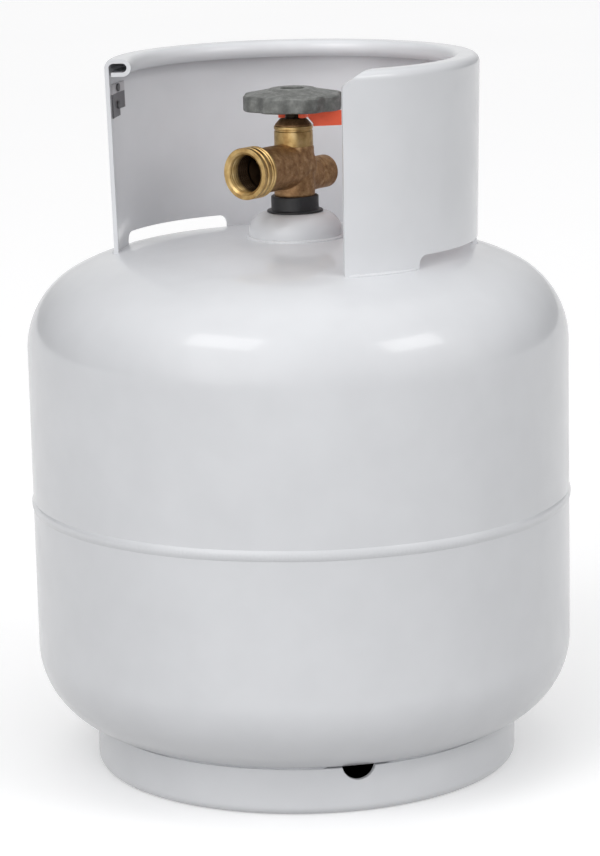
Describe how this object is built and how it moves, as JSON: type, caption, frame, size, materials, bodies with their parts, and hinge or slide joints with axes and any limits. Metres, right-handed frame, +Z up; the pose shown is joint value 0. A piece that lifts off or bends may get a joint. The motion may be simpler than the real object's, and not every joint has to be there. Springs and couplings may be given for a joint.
{
  "type": "propane tank",
  "caption": "Upright welded steel propane cylinder with girth seam, foot ring, C-shaped guard collar with rolled rim, and brass valve with lobed handwheel.",
  "frame": {"origin": "centre of the circle that the foot ring rests on", "axes": "+Z up along the vessel's axis; the valve outlet and the collar's opening face -Y"},
  "size_m": [0.3168, 0.3168, 0.415],
  "materials": {
    "white_paint": "glossy powder coat",
    "brass": "forged, machined at the outlet",
    "wheel_metal": "grey cast",
    "dark_steel": "blackened",
    "plated_steel": "zinc plated",
    "dark_plastic": "satin",
    "rubber": "matt",
    "nylon": "satin",
    "orange_plastic": "moulded"
  },
  "bodies": {
    "root": {"upper_shell": "white_paint", "lower_shell": "white_paint", "girth_weld": "white_paint", "neck_boss": "white_paint", "boss_weld": "white_paint", "collar": "white_paint", "collar_welds": "white_paint", "foot_ring": "white_paint", "foot_ring_welds": "white_paint", "id_tag": "dark_plastic", "tag_rivets": "plated_steel", "valve_body": "brass", "neck_seal_ring": "dark_plastic", "gland_nut": "brass", "stem_o_ring": "rubber", "spindle_washer": "nylon", "relief_cap": "brass", "relief_spring": "plated_steel", "bleed_seal": "nylon", "dip_tube": "brass"},
    "wheel": {"handwheel": "wheel_metal", "upper_spindle": "dark_steel", "wheel_washer": "plated_steel", "wheel_nut": "plated_steel"},
    "seat_carrier": {"lower_spindle": "brass", "seat_disc": "nylon"},
    "relief": {"relief_poppet": "brass", "relief_seal": "rubber"},
    "bleed": {"bleed_screw": "brass"},
    "tether": {"tether_strap": "orange_plastic"},
    "plug": {"pol_plug": "orange_plastic", "plug_o_ring": "rubber"}
  },
  "joints": [
    {"name": "handwheel_turn", "type": "hinge", "parent": "root", "child": "wheel", "pos_m": [0, 0, 0.384], "axis": [0, 0, 1], "range_deg": [0, 720]},
    {"name": "seat_lift", "type": "slide", "parent": "wheel", "child": "seat_carrier", "axis": [0, 0, 1], "range_m": [0, 0.0035]},
    {"name": "relief_lift", "type": "slide", "parent": "root", "child": "relief", "axis": [0, 1, 0], "range_m": [0, 0.0025], "stiffness_N_per_m": 10000, "springref_m": -0.005, "deforming": ["relief_spring"]},
    {"name": "bleed_turn", "type": "hinge", "parent": "root", "child": "bleed", "pos_m": [-0.0185, 0, 0.345], "axis": [-1, 0, 0], "range_deg": [0, 540]},
    {"name": "tether_swing", "type": "hinge", "parent": "root", "child": "tether", "pos_m": [0, 0, 0.381], "axis": [0, 0, 1], "range_deg": [-90, 15]},
    {"name": "plug_spin", "type": "hinge", "parent": "tether", "child": "plug", "pos_m": [0.03751, 0.04022, 0.376], "axis": [0, 0, 1], "continuous": true}
  ],
  "couplings": [
    {"joint": "seat_lift", "follows": "handwheel_turn", "m_per_rad": 0.0002785}
  ]
}
